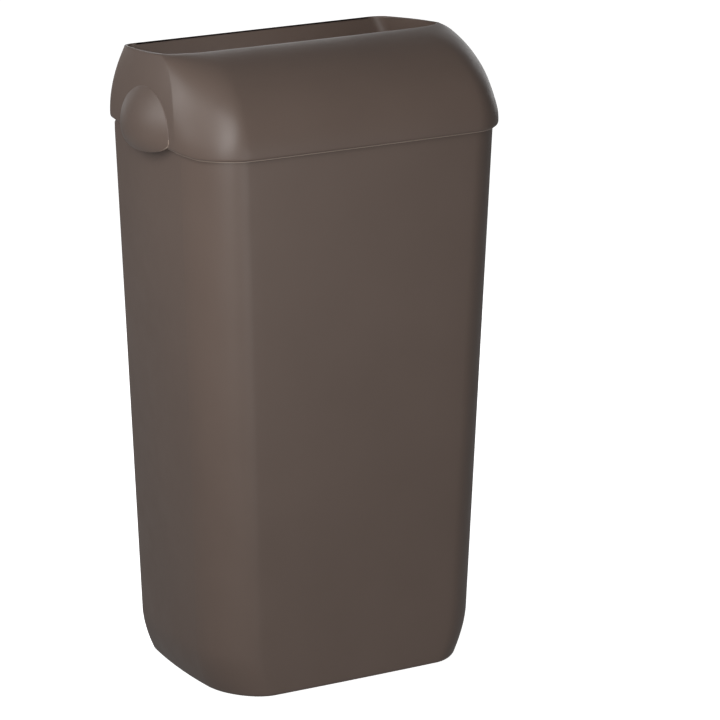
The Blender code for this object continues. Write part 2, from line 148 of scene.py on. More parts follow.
# Wall fixing
STEEL = 0.0020
HANGER_HALF = 0.092
HANGER_LOW = 0.4220
HANGER_HIGH = 0.5180
HANGER_FLANGE = 0.0150
HANGER_STAND = 0.0055
HANGER_WIDE_BEND = 0.0026
HANGER_TIGHT_BEND = 0.0008
HANGER_BEVEL = 0.00028
RIVET_X = 0.078
RIVET_SHANK = 0.0024
RIVET_HOLE = 0.0027
RIVET_HEAD = 0.0050
RIVET_TAIL = 0.0040
RIVET_RIM = 0.0002          # thickness of the head at its rim
RIVET_CROWN = 0.0021        # height of its dome over that
RIVET_DIMPLE = 0.16         # half width of the dimple in the head, as a share of the head's
RIVET_DIMPLE_FLOOR = 0.12
RIVET_DIMPLE_DEPTH = 0.0006
HOOK_X = 0.045
HOOK_HALF = 0.011
HOOK_ROOT = 0.4620
HOOK_LENGTH = 0.0110
HOOK_SOFT = 0.0006
HOOK_SUNK = 0.0004          # its root starts this far inside the plate
HOOK_TIP_TOP = 0.0004       # what is taken off the tip above
HOOK_TIP_UNDER = 0.0012     # and what is added below
SLOT_LOW = 0.4565
SLOT_HIGH = 0.4712
SLOT_HALF = 0.014
SLOT_CORNER = 0.0015
BRACKET_HALF = 0.080
BRACKET_LOW = 0.4480
BRACKET_HIGH = 0.5080
BRACKET_CORNER = 0.006
BRACKET_BEVEL = 0.00025
WINDOW_SIDE = 0.0015        # room beside a hook in the window it is pressed out of
WINDOW_ABOVE = 0.018        # the window's top over the hook's root
WINDOW_CORNER = 0.0016
SCREW_X = 0.064
SCREW_Z = 0.4930
SCREW_HOLE = 0.0026
SCREW_SINK = 1.6            # width of the countersink at the face, as a share of the hole's
SCREW_SINK_DEPTH = 0.0013
CUT_PAST = 0.001            # how far a cutter reaches past a sheet

# Foot pads
FOOT_X = 0.088
FOOT_Y = (-0.052, 0.082)
FOOT_RADIUS = 0.0100
FOOT_HEIGHT = 0.0030
FOOT_SOFT = 0.0007
FOOT_GROOVE = (0.42, 0.46, 0.54, 0.58)  # where its sides start and end, in radii
FOOT_GROOVE_DEPTH = 0.0004
FOOT_CUT_FROM = -0.005      # below the base

# ---- points along the outlines -----------------------------------------

REAR_STEPS = 9
REAR_CORNER_STEPS = 8
SIDE_STEPS = 22
SIDE_CROWDING = 1.25        # crowds the points of a side towards the front corner
CORNER_STEPS = 22
FRONT_STEPS = 12

# ---- studio ------------------------------------------------------------

MIDDLE = Vector((0.0, 0.0, 0.33))       # what most lamps point at
UPPER_LEFT = Vector((-0.17, 0.0, 0.55))
LOWER_FRONT = Vector((0.05, 0.0, 0.20))
LAMP_DISTANCE = 1.5
FLOOR_SIZE = 14.0
FLOOR_GLOW = 0.95           # the floor stays pale wherever the lamps point
WORLD_GLOW = 0.155
LENS = 206.1
CAMERA_PLACE = Vector((-1.8989, -3.3529, 1.3315))
CAMERA_RIGHT = Vector((0.8629, -0.5052, -0.0086))
CAMERA_BACK = Vector((-0.4862, -0.8349, 0.2579))

SMOOTH_ANGLE = math.radians(38)


def mix(low, high, share):
    return low + (high - low) * share


def clamp(share):
    return min(max(share, 0.0), 1.0)


# ---- outlines ----------------------------------------------------------

def arc(cx, cy, rx, ry, start, end, steps):
    """Points on an ellipse between two angles in degrees."""
    points = []
    for i in range(steps + 1):
        turn = math.radians(mix(start, end, i / steps))
        points.append((cx + rx * math.cos(turn), cy + ry * math.sin(turn)))
    return points


def round_corner(before, corner, after, reach, steps):
    """Points on a small round that replaces the corner of a polyline."""
    corner = Vector(corner)
    start = corner + (Vector(before) - corner).normalized() * reach
    end = corner + (Vector(after) - corner).normalized() * reach
    points = []
    for i in range(steps + 1):
        share = i / steps
        point = start * (1 - share) ** 2 + corner * 2 * share * (1 - share) + end * share ** 2
        points.append((point.x, point.y))
    return points


def outline(side, front, rear, corner_x, corner_y, rear_corner, crease=0.0):
    """A rounded plan, symmetrical in X: small rear corners, large front corners.

    A crease makes the surface break by that many degrees where a side meets its front corner.
    """
    side_rear = side * REAR_NARROWING
    back_half = side_rear - rear_corner
    half = [(back_half * i / REAR_STEPS, rear) for i in range(1, REAR_STEPS)]
    half += arc(back_half, rear - rear_corner, rear_corner, rear_corner, 90, 0, REAR_CORNER_STEPS)
    side_start = half[-1]
    side_end = (side, corner_y - front)
    broken = math.radians(crease)
    wide = corner_x / math.cos(broken)
    deep = corner_y / (1 - math.sin(broken))
    bend = arc(side - corner_x, deep - front, wide, deep, -crease, -90, CORNER_STEPS)
    for i in range(1, SIDE_STEPS):
        share = 1 - (1 - i / SIDE_STEPS) ** SIDE_CROWDING
        half.append((mix(side_start[0], side_end[0], share), mix(side_start[1], side_end[1], share)))
    half += round_corner(half[-1], bend[0], bend[1], CREASE_ROUND, 4)
    half += bend[1:]
    front_half = side - corner_x
    half += [(front_half * (1 - i / FRONT_STEPS), -front) for i in range(1, FRONT_STEPS)]
    middle = (rear - front) / 2
    reach = (rear + front) / 2
    crowned = []
    for x, y in half:
        along = max(0.0, 1 - ((y - middle) / reach) ** 2)
        bulge = SIDE_CROWN * along * (x / side) ** 2
        ahead = max(0.0, -y / front)
        crowned.append((x + bulge, y - FRONT_CROWN * ahead ** 2 * (1 - (x / side) ** 2)))
    mirrored = [(-x, y) for x, y in reversed(crowned)]
    return crowned + [(0.0, -front - FRONT_CROWN)] + mirrored + [(0.0, rear)]


def tub_outline(height, grow=0.0):
    """The tub's outside at a height, moved outwards by grow."""
    share = min(height, SHOULDER) / SHOULDER
    curve = max(0.0, 1 - height / BASE_CURVE_HEIGHT) ** BASE_CURVE_POWER
    side = mix(TUB_SIDE_BASE, TUB_SIDE_TOP, share) - BASE_CURVE_INSET * curve + grow
    front = mix(TUB_FRONT_BASE, TUB_FRONT_TOP, share) + grow
    stepped = clamp((height - REAR_SHOULDER) / REAR_STEP_HEIGHT)
    rear = REAR + grow - REAR_STEP * stepped * stepped * (3 - 2 * stepped)
    rear_corner = max(REAR_CORNER + grow, LEAST_REAR_CORNER)
    return outline(side, front, rear, CORNER_X + grow, CORNER_Y + grow, rear_corner)


def at_height(points, height):
    return [Vector((x, y, height)) for x, y in points]


def tub_ring(height, grow=0.0):
    return at_height(tub_outline(height, grow), height)


def tub_rings(low, high, steps, grow=0.0):
    """Evenly spaced rings after the one at low, up to the one at high."""
    return [tub_ring(mix(low, high, i / steps), grow) for i in range(1, steps + 1)]


def edge_lift(y):
    """How far the hood's lower edge has risen above its front."""
    return EDGE_RISE * clamp((y - EDGE_RISE_FROM) / EDGE_RISE_RUN) ** EDGE_RISE_POWER


def edge_ring(above, grow):
    """A ring beside the hood's lower edge, following its rise."""
    return [Vector((x, y, HOOD_EDGE + above + edge_lift(y))) for x, y in tub_outline(RIM, grow)]


def hood_ring(turn, inside=0.0):
    """The hood's section where its front profile has turned by an angle, 0 to 90 degrees."""
    rise = math.sin(math.radians(turn))
    run = math.cos(math.radians(turn))
    side = TUB_SIDE_TOP + HOOD_OVERHANG - inside - CHEEK_LEAN * rise ** 2
    reach = TUB_FRONT_TOP + HOOD_OVERHANG - MOUTH_FRONT - inside
    front = MOUTH_FRONT + reach * run
    corner_x = mix(CORNER_X + HOOD_OVERHANG, MOUTH_CORNER_X, rise) - inside
    corner_y = mix(MOUTH_CORNER_Y, CORNER_Y + HOOD_OVERHANG, run ** CORNER_FADE) - inside
    settle = min(rise / CREASE_SETTLE, 1.0)
    crease = HOOD_CREASE * settle * settle * (3 - 2 * settle)
    plan = outline(side, front, HOOD_REAR - inside, corner_x, corner_y, REAR_CORNER, crease)
    ring = []
    for x, y in plan:
        back = (y + MOUTH_FRONT) / (HOOD_REAR + MOUTH_FRONT)
        top = HOOD_TOP - MOUTH_TILT * clamp(back)
        under = inside * rise * (1 - clamp((y + front) / corner_y))
        ring.append(Vector((x, y, mix(HOOD_SPRING + edge_lift(y), top, rise) - under)))
    return ring


# ---- mesh helpers ------------------------------------------------------

def add_object(name, work):
    """Turn a finished bmesh into a smooth shaded object."""
    bmesh.ops.recalc_face_normals(work, faces=work.faces)
    mesh = bpy.data.meshes.new(name)
    work.to_mesh(mesh)
    work.free()
    made = bpy.data.objects.new(name, mesh)
    bpy.context.scene.collection.objects.link(made)
    smooth(made)
    return made


def smooth(obj):
    """Smooth shading, with sharp edges where the surface turns by more than SMOOTH_ANGLE."""
    obj.data.shade_smooth()
    obj.data.set_sharp_from_angle(angle=SMOOTH_ANGLE)


def loft(name, rings, closed=False):
    """Skin a row of rings. A closed loft joins its last ring to its first; others get end caps."""
    work = bmesh.new()
    loops = [[work.verts.new(point) for point in ring] for ring in rings]
    pairs = list(zip(loops, loops[1:]))
    if closed:
        pairs.append((loops[-1], loops[0]))
    for lower, upper in pairs:
        for i in range(len(lower)):
            work.faces.new((lower[i - 1], lower[i], upper[i], upper[i - 1]))
    if not closed:
        work.faces.new(loops[0])
        work.faces.new(loops[-1])
    return add_object(name, work)


def turned(name, profile, centre, axis, sides=48):
    """Turn a profile of (radius, distance along the axis) pairs; axis is 'Y' or 'Z'."""
    rings = []
    for radius, along in profile:
        ring = []
        for i in range(sides):
            turn = 2 * math.pi * i / sides
            across = (radius * math.cos(turn), radius * math.sin(turn))
            spot = (across[0], along, across[1]) if axis == "Y" else (across[0], across[1], along)
            ring.append(Vector(spot) + Vector(centre))
        rings.append(ring)
    return loft(name, rings)


def combine(target, other, operation):
    """Boolean with another solid, which is used up."""
    change = target.modifiers.new(other.name, "BOOLEAN")
    change.operation = operation
    change.solver = "EXACT"
    change.object = other
    apply_modifiers(target)
    bpy.data.objects.remove(other, do_unlink=True)
    smooth(target)


def apply_modifiers(obj):
    """Make the evaluated mesh the object's own and drop its modifiers."""
    view = bpy.context.view_layer
    view.update()
    result = bpy.data.meshes.new_from_object(obj.evaluated_get(view.depsgraph))
    obj.modifiers.clear()
    old = obj.data
    obj.data = result
    bpy.data.meshes.remove(old)


# ---- materials ---------------------------------------------------------

NOISE_LOW, NOISE_HIGH = 0.3, 0.7    # most of a noise's values lie between these


def start_material(name):
    made = bpy.data.materials.new(name)
    made.use_nodes = True
    tree = made.node_tree
    return made, tree, tree.nodes["Principled BSDF"]


def noise(tree, scale, detail=3.0, roughness=0.5):
    """Noise in the object's own coordinates, so that it moves with its piece."""
    coords = tree.nodes.new("ShaderNodeTexCoord")
    texture = tree.nodes.new("ShaderNodeTexNoise")
    texture.inputs["Scale"].default_value = scale
    texture.inputs["Detail"].default_value = detail
    texture.inputs["Roughness"].default_value = roughness
    tree.links.new(coords.outputs["Object"], texture.inputs["Vector"])
    return texture.outputs["Fac"]


def spread(tree, value, low, high):
    """Map the middle part of a noise's range to low .. high."""
    mapper = tree.nodes.new("ShaderNodeMapRange")
    mapper.inputs["From Min"].default_value = NOISE_LOW
    mapper.inputs["From Max"].default_value = NOISE_HIGH
    mapper.inputs["To Min"].default_value = low
    mapper.inputs["To Max"].default_value = high
    tree.links.new(value, mapper.inputs["Value"])
    return mapper.outputs["Result"]


def tint(tree, value, first, second):
    """A colour between two, by a value."""
    ramp = tree.nodes.new("ShaderNodeMix")
    ramp.data_type = "RGBA"
    ramp.inputs["A"].default_value = first
    ramp.inputs["B"].default_value = second
    tree.links.new(value, ramp.inputs["Factor"])
    return ramp.outputs["Result"]


def bump(tree, heights, shader):
    """Chain of (height socket, strength, distance) bumps into the shader's normal."""
    normal = None
    for height, strength, distance in heights:
        node = tree.nodes.new("ShaderNodeBump")
        node.inputs["Strength"].default_value = strength
        node.inputs["Distance"].default_value = distance
        tree.links.new(height, node.inputs["Height"])
        if normal:
            tree.links.new(normal, node.inputs["Normal"])
        normal = node.outputs["Normal"]
    tree.links.new(normal, shader.inputs["Normal"])


def moulded_plastic(name, dark, light, rough_low, rough_high):
    """Faintly clouded colour, uneven gloss, a fine spark-eroded grain and slow sink marks."""
    made, tree, shader = start_material(name)
    cloud = spread(tree, noise(tree, scale=9.0, detail=4.0), 0.0, 1.0)
    tree.links.new(tint(tree, cloud, dark, light), shader.inputs["Base Color"])
    gloss = spread(tree, noise(tree, scale=38.0, detail=5.0), rough_low, rough_high)
    tree.links.new(gloss, shader.inputs["Roughness"])
    grain = noise(tree, scale=1400.0, detail=2.0, roughness=0.6)
    sink = noise(tree, scale=16.0, detail=1.0)
    bump(tree, [(grain, 0.10, 0.0002), (sink, 0.05, 0.0006)], shader)
    shader.inputs["IOR"].default_value = 1.49
    shader.inputs["Specular IOR Level"].default_value = 0.42
    return made


def metal(name, first, second, rough_low, rough_high, grain):
    """Metal in patches, as zinc plating has; grain is the scale of the patches."""
    made, tree, shader = start_material(name)
    shader.inputs["Metallic"].default_value = 1.0
    patches = spread(tree, noise(tree, grain, detail=6.0, roughness=0.7), 0.0, 1.0)
    tree.links.new(tint(tree, patches, first, second), shader.inputs["Base Color"])
    gloss = spread(tree, noise(tree, grain * 2, detail=5.0), rough_low, rough_high)
    tree.links.new(gloss, shader.inputs["Roughness"])
    bump(tree, [(noise(tree, grain * 6, detail=3.0), 0.12, 0.0002)], shader)
    return made


def rubber(name, dark, light, rough_low, rough_high):
    """Dusty, matt and finely pitted."""
    made, tree, shader = start_material(name)
    dust = spread(tree, noise(tree, scale=160.0, detail=4.0), 0.0, 1.0)
    tree.links.new(tint(tree, dust, dark, light), shader.inputs["Base Color"])
    gloss = spread(tree, noise(tree, scale=500.0), rough_low, rough_high)
    tree.links.new(gloss, shader.inputs["Roughness"])
    bump(tree, [(noise(tree, scale=1800.0), 0.25, 0.0002)], shader)
    return made


BROWN = moulded_plastic("brown_moulded", (0.100, 0.072, 0.059, 1), (0.108, 0.078, 0.064, 1), 0.38, 0.45)
# A lighter brown on the hood's lower lip and the ears' lower rims: a painted highlight where a thin line
# of light catches.
PAINTED_EDGE_HIGHLIGHT = moulded_plastic("brown_painted_edge_highlight", (0.250, 0.195, 0.160, 1), (0.275, 0.215, 0.180, 1), 0.30, 0.38)
DARK = moulded_plastic("dark_moulded", (0.026, 0.025, 0.024, 1), (0.034, 0.033, 0.032, 1), 0.44, 0.56)
STEEL_LOOK = metal("zinc_plated", (0.50, 0.51, 0.53, 1), (0.64, 0.65, 0.66, 1), 0.28, 0.44, 90.0)
RIVET_LOOK = metal("rivet_aluminium", (0.70, 0.70, 0.69, 1), (0.80, 0.80, 0.79, 1), 0.24, 0.36, 260.0)
RUBBER = rubber("foot_rubber", (0.018, 0.018, 0.019, 1), (0.034, 0.034, 0.035, 1), 0.70, 0.88)


def finish_piece(piece, body, nodes, look):
    """Hand a piece over in the place of its CAD nodes; one with a look of its own keeps that."""
    if not piece.data.materials:
        piece.data.materials.append(look)
    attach(piece, body)
    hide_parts(*nodes)


# ---- tub ---------------------------------------------------------------

def quarter(steps):
    """Sine and cosine pairs over a quarter turn."""
    turns = [math.pi / 2 * i / steps for i in range(steps + 1)]
    return [(math.sin(turn), math.cos(turn)) for turn in turns]


def make_tub():
    """Outside skin from the base up, rounded rim, inside skin down to the floor, then the pockets."""
    base = FOOT_LIFT
    outer = []
    for up, out in quarter(6):
        height = base + BASE_EDGE * (1 - out)
        outer.append(at_height(tub_outline(height, -BASE_EDGE * (1 - up)), height))
    curve_low = base + BASE_EDGE
    outer += tub_rings(curve_low, BASE_CURVE_HEIGHT, 16)
    outer += tub_rings(BASE_CURVE_HEIGHT, SHOULDER, 20)
    outer += [tub_ring(REAR_SHOULDER + REAR_STEP_HEIGHT * i / 5) for i in range(6)]

    half_wall = WALL / 2
    under_rim = RIM - half_wall - RIM_BAND
    outer.append(tub_ring(under_rim))
    rim = []
    for up, out in quarter(4):
        rim.append(tub_ring(RIM - half_wall * (1 - up), -half_wall * (1 - out)))
    for up, out in reversed(quarter(4)[:-1]):
        rim.append(tub_ring(RIM - half_wall * (1 - up), -half_wall * (1 + out)))

    inner = [tub_ring(under_rim, -WALL)]
    inner += [tub_ring(REAR_SHOULDER + height, -WALL) for height in REAR_STEP_INSIDE]
    straight_from = REAR_SHOULDER + REAR_STEP_INSIDE[-1]
    inner += tub_rings(straight_from, BASE_CURVE_HEIGHT, 12, -WALL)
    inner += [tub_ring(height, -WALL) for height in BASE_INSIDE_HEIGHTS]
    floor = base + FLOOR
    for up, out in quarter(5):
        height = floor + FLOOR_ROUND * (1 - up)
        inner.append(at_height(tub_outline(height, -WALL - FLOOR_ROUND * (1 - out)), height))
    tub = loft("tub_shell", outer + rim + inner)

    combine(tub, pocket_solid("bump", WALL, BUMP_EDGE, flare=0.0), "UNION")
    combine(tub, pocket_solid("recess", 0.0, RECESS_EDGE, RECESS_FLARE), "DIFFERENCE")
    pocket = [(FOOT_RADIUS + GAP, FOOT_CUT_FROM), (FOOT_RADIUS + GAP, FOOT_HEIGHT + GAP)]
    for x in (-FOOT_X, FOOT_X):
        for y in FOOT_Y:
            combine(tub, turned("pocket", pocket, (x, y, 0), "Z"), "DIFFERENCE")
    return tub


def rounded_rectangle(half_x, low_z, high_z, radius, y):
    """A ring across the Y axis."""
    points = []
    corners = ((half_x - radius, high_z - radius, 90, 0), (half_x - radius, low_z + radius, 0, -90),
               (radius - half_x, low_z + radius, -90, -180), (radius - half_x, high_z - radius, 180, 90))
    for cx, cz, start, end in corners:
        points += arc(cx, cz, radius, radius, start, end, 6)
    return [Vector((x, y, z)) for x, z in points]


def pocket_solid(name, grow, edge, flare):
    """The recess in the rear wall, with a rounded floor edge and, when flared, a rounded lip."""
    rings = []
    floor = RECESS_FLOOR - grow
    for up, out in quarter(5):
        pull = edge * (1 - up)
        corner = max(RECESS_CORNER + grow - pull, RECESS_LEAST_CORNER)
        rings.append(rounded_rectangle(RECESS_HALF + grow - pull, RECESS_LOW - grow + pull,
                                       RECESS_HIGH + grow - pull, corner, floor + edge * (1 - out)))
    if flare:
        for up, out in quarter(5):
            push = flare * (1 - out)
            rings.append(rounded_rectangle(RECESS_HALF + push, RECESS_LOW - push, RECESS_HIGH + push,
                                           RECESS_CORNER + push, REAR - flare * (1 - up)))
        past_rear = REAR + 4 * CUT_PAST
        rings.append([Vector((point.x, past_rear, point.z)) for point in rings[-1]])
    else:
        within_wall = REAR - WALL / 2
        rings.append(rounded_rectangle(RECESS_HALF + grow, RECESS_LOW - grow, RECESS_HIGH + grow,
                                       RECESS_CORNER + grow, within_wall))
    return loft(name, rings)


# ---- hood --------------------------------------------------------------

def ear_solid(name, hand, shrink):
    """The grip on a cheek: domed, flush with the cheek above and standing off the tub below.

    hand is -1 for the left ear and 1 for the right; shrink makes the smaller solid that hollows it.
    """
    def ear_ring(share, sink=0.0, side=None):
        ring = []
        for i in range(EAR_POINTS):
            turn = 2 * math.pi * i / EAR_POINTS
            along, up = share * math.cos(turn), share * math.sin(turn)
            height = EAR_ABOVE if up > 0 else EAR_BELOW
            y = EAR_Y + (EAR_HALF_WIDTH - shrink) * along
            z = EAR_Z + (height - shrink) * up
            lean = EAR_LEAN * up * up if up > 0 else 0.0
            drop = up * up * (1.0 if up > 0 else 1.0 - EAR_RIM)
            x = EAR_SIDE - EAR_TAPER * y - lean + EAR_BULGE * (1 - along * along - drop) - shrink - sink
            ring.append(Vector((hand * (x if side is None else side), y, z)))
        return ring

    rings = [ear_ring(1.0, side=EAR_ROOT - shrink)]
    rings += [ear_ring(1.0, EAR_SOFT), ear_ring(1 - EAR_SOFT / EAR_ABOVE)]
    rings += [ear_ring(EAR_DOME * math.sin(math.pi / 2 * i / EAR_RINGS)) for i in range(EAR_RINGS, 0, -1)]
    ear = loft(name, rings)
    # the soft edge of the lower rim carries a painted highlight
    paint_highlight_band(ear, EAR_POINTS, [2])
    for i in range(1, EAR_POINTS // 2):     # the upper half gets no painted highlight on its rim
        ear.data.polygons[EAR_POINTS + i].material_index = 0
    return ear


def rim_rings(outer, inner, outer_before, inner_before, steps):
    """A half-round edge between the last ring of an outer skin and the last of an inner one.

    The rings before those two say which way the skins run there.
    """
    handle = 1.333      # in radii: brings a cubic curve close to a half circle
    rings = [[] for _ in range(steps + 1)]
    for out, into, out_low, into_low in zip(outer, inner, outer_before, inner_before):
        radius = (out - into).length / 2
        rise_out = (out - out_low).normalized()
        rise_in = (into - into_low).normalized()
        start = out - rise_out * radius
        end = into - rise_in * radius
        lift_out = start + rise_out * radius * handle
        lift_in = end + rise_in * radius * handle
        for i, ring in enumerate(rings):
            t = i / steps
            ring.append(start * (1 - t) ** 3 + lift_out * 3 * t * (1 - t) ** 2
                        + lift_in * 3 * t * t * (1 - t) + end * t ** 3)
    return rings


def make_hood():
    """A closed skin round the lower edge, up the dome, over the mouth's rim and down inside."""
    lip = [edge_ring(LIP_INSIDE_SOFT, LIP_INSIDE), edge_ring(0.0, LIP_INSIDE + LIP_INSIDE_SOFT),
           edge_ring(0.0, LIP_OUTSIDE - LIP_OUTSIDE_SOFT), edge_ring(LIP_OUTSIDE_SOFT, LIP_OUTSIDE),
           edge_ring(LIP_HEIGHT - LIP_TUCK, LIP_OUTSIDE)]
    tuck = []
    spring = hood_ring(0)
    for up, out in quarter(8):
        low_ring = edge_ring(LIP_HEIGHT, mix(LIP_OUTSIDE + LIP_OUTSIDE_SOFT, HOOD_OVERHANG, up))
        tuck.append([Vector((mix(a.x, b.x, up), mix(a.y, b.y, up), mix(b.z, a.z, out)))
                     for a, b in zip(low_ring, spring)])
    outer_turns = [*range(3, 90, 3)]
    inner_turns = [*range(0, 81, 8), 86]
    outer = [hood_ring(turn) for turn in outer_turns]
    inner = [hood_ring(turn, HOOD_WALL) for turn in reversed(inner_turns)]
    rim = rim_rings(hood_ring(90), hood_ring(90, HOOD_WALL), outer[-1], inner[0], 8)
    under = [edge_ring(UNDER_HIGH, LIP_INSIDE + UNDER_SLOPE), edge_ring(UNDER_LOW, LIP_INSIDE)]
    hood = loft("hood_shell", lip + tuck + outer + rim + inner + under, closed=True)
    # the lip's bands carry a painted highlight
    paint_highlight_band(hood, len(spring), range(1, len(lip)))

    for hand, side in ((-1, "left"), (1, "right")):
        combine(hood, ear_solid("ear_" + side, hand, 0.0), "UNION")
        combine(hood, ear_solid("ear_hollow_" + side, hand, HOOD_WALL), "DIFFERENCE")
    combine(hood, loft("tub_clearance", clearance_rings()), "DIFFERENCE")

    rest = RIM + GAP + RING_THICKNESS + GAP
    for hand, side in ((-1, "left"), (1, "right")):
        for i, (y, sunk) in enumerate(zip(SEAT_RIB_Y, SEAT_RIB_SUNK)):
            outer_side = rib_side(y) - sunk
            inner_side = rib_side(y) - SEAT_RIB_SIZE.x
            corners = [(hand * x, y + b * SEAT_RIB_SIZE.y / 2)
                       for x, b in ((inner_side, -1), (outer_side, -1), (outer_side, 1), (inner_side, 1))]
            rings = [[Vector((a, b, z)) for a, b in corners] for z in (rest, rest + SEAT_RIB_SIZE.z)]
            combine(hood, loft(f"rib_{side}_{i}", rings), "UNION")
    return hood


def paint_highlight_band(skin, points, rows):
    """Puts the faces between some of a loft's rings in the second of two material slots, the lighter brown
    of a painted highlight.
    """
    skin.data.materials.append(BROWN)
    skin.data.materials.append(PAINTED_EDGE_HIGHLIGHT)
    for row in rows:
        for i in range(points):
            skin.data.polygons[(row - 1) * points + i].material_index = 1


def rib_side(y):
    """Where the outer end of a seat rib lies, in the hood's wall."""
    ring = tub_outline(SHOULDER, HOOD_OVERHANG - HOOD_WALL / 2)
    side_from = 0.1     # every point of the side has a larger X
    beside = [(abs(point[1] - y), point[0]) for point in ring if point[0] > side_from]
    return min(beside)[1] - SEAT_RIB_INSIDE


def clearance_rings():
    """The space that the ears keep out of: the tub's, and then the dome's inside."""
    tub_top = tub_outline(RIM, LIFT_GAP)
    above_ring = RIM + RING_THICKNESS + 3 * GAP + EAR_CUT_ABOVE_RING
    rings = [at_height(tub_top, height) for height in (EAR_CUT_FROM, above_ring)]
    inside = HOOD_OVERHANG - LIFT_GAP
    return rings + [hood_ring(turn, inside) for turn in EAR_CUT_TURNS]


# ---- ring --------------------------------------------------------------

def make_bag_ring():
    """An L section of (outwards, height) points, drawn round the rim."""
    top = RIM + GAP + RING_THICKNESS
    under = RIM + GAP
    foot = top - RING_SKIRT
    section = []
    corners = [(RING_OVERLAP, under), (RING_OVERLAP, top), (-RING_REACH, top), (-RING_REACH, foot),
               (RING_THICKNESS - RING_REACH, foot), (RING_THICKNESS - RING_REACH, under)]
    for i, corner in enumerate(corners):
        section += round_corner(corners[i - 1], corner, corners[(i + 1) % len(corners)], RING_SOFT, 4)
    rings = [at_height(tub_outline(RIM, grow), height) for grow, height in section]
    return loft("bag_ring_moulded", rings, closed=True)


# ---- wall fixing and feet ----------------------------------------------

BEVEL_ANGLE = math.radians(35)
LARGEST_FACES_ONLY = 100    # the modifier's strongest weight


def soften(obj, width):
    """A small bevel on every hard edge, with the flat faces shaded flat."""
    change = obj.modifiers.new("soften", "BEVEL")
    change.width = width
    change.segments = 2
    change.limit_method = "ANGLE"
    change.angle_limit = BEVEL_ANGLE
    change.use_clamp_overlap = True
    apply_modifiers(obj)
    smooth(obj)
    flat_faces = obj.modifiers.new("flat_faces", "WEIGHTED_NORMAL")
    flat_faces.weight = LARGEST_FACES_ONLY
    flat_faces.keep_sharp = True
    apply_modifiers(obj)


def bent_sheet(name, profile, bends, half_width):
    """A closed (y, z) profile drawn out along X, with each of its corners rounded by its own bend."""
    points = []
    for i, (corner, bend) in enumerate(zip(profile, bends)):
        if bend:
            points += round_corner(profile[i - 1], corner, profile[(i + 1) % len(profile)], bend, 5)
        else:
            points.append(corner)
    rings = [[Vector((x, y, z)) for y, z in points] for x in (-half_width, half_width)]
    return loft(name, rings)


def slab(name, half_x, low_z, high_z, radius, back_y, front_y):
    """A flat plate with rounded corners, across the Y axis."""
    return loft(name, [rounded_rectangle(half_x, low_z, high_z, radius, y) for y in (back_y, front_y)])


def moved(obj, x):
    obj.data.transform(Matrix.Translation((x, 0, 0)))
    return obj


def rivet_spots():
    """Name, X and Z of each rivet."""
    heights = (("lower", HANGER_LOW + HANGER_FLANGE / 2), ("upper", HANGER_HIGH - HANGER_FLANGE / 2))
    hands = (("left", -RIVET_X), ("right", RIVET_X))
    return [(f"{level}_{hand}", x, z) for level, z in heights for hand, x in hands]


def make_hanger():
    """A hat section: two flanges on the recess's floor, and a web that stands off it."""
    back = RECESS_FLOOR + GAP
    face = back + STEEL
    web_back = back + HANGER_STAND
    web_face = web_back + STEEL
    low_bend = HANGER_LOW + HANGER_FLANGE
    high_bend = HANGER_HIGH - HANGER_FLANGE
    profile = [
        (back, HANGER_LOW), (face, HANGER_LOW), (face, low_bend - STEEL), (web_face, low_bend - STEEL),
        (web_face, high_bend + STEEL), (face, high_bend + STEEL), (face, HANGER_HIGH), (back, HANGER_HIGH),
        (back, high_bend), (web_back, high_bend), (web_back, low_bend), (back, low_bend),
    ]
    wide, tight = HANGER_WIDE_BEND, HANGER_TIGHT_BEND
    bends = [0, 0, tight, wide, wide, tight, 0, 0, wide, tight, tight, wide]
    plate = bent_sheet("hanger_pressed", profile, bends, HANGER_HALF)
    for x in (-HOOK_X, HOOK_X):
        slot = slab("slot", SLOT_HALF, SLOT_LOW, SLOT_HIGH, SLOT_CORNER,
                    web_back - CUT_PAST, web_face + CUT_PAST)
        combine(plate, moved(slot, x), "DIFFERENCE")
    for _, x, z in rivet_spots():
        through = [(RIVET_HOLE, -2 * CUT_PAST), (RIVET_HOLE, 6 * CUT_PAST)]
        hole = turned("hole", through, (x, back, z), "Y", 32)
        combine(plate, hole, "DIFFERENCE")
    soften(plate, HANGER_BEVEL)
    return plate


def make_rivet(spot, x, z):
    """A blind rivet: tail inside the tub, shank, and a domed head with its dimple."""
    head = RECESS_FLOOR + GAP + STEEL + GAP
    tail = RECESS_FLOOR - WALL - GAP
    soft = 0.0001
    profile = [(RIVET_TAIL * 0.55, tail - 0.0018), (RIVET_TAIL * 0.86, tail - 0.0015),
               (RIVET_TAIL, tail - 0.0008), (RIVET_TAIL, tail - soft), (RIVET_TAIL - soft, tail),
               (RIVET_SHANK, tail), (RIVET_SHANK, head), (RIVET_HEAD - soft, head)]
    for up, out in quarter(8)[:-1]:
        profile.append((RIVET_HEAD * mix(RIVET_DIMPLE, 1.0, out), head + RIVET_RIM + RIVET_CROWN * up))
    top = head + RIVET_RIM + RIVET_CROWN
    profile.append((RIVET_HEAD * RIVET_DIMPLE, top))
    profile.append((RIVET_HEAD * RIVET_DIMPLE_FLOOR, top - RIVET_DIMPLE_DEPTH))
    return turned("rivet_" + spot, profile, (x, 0, z), "Y", 40)


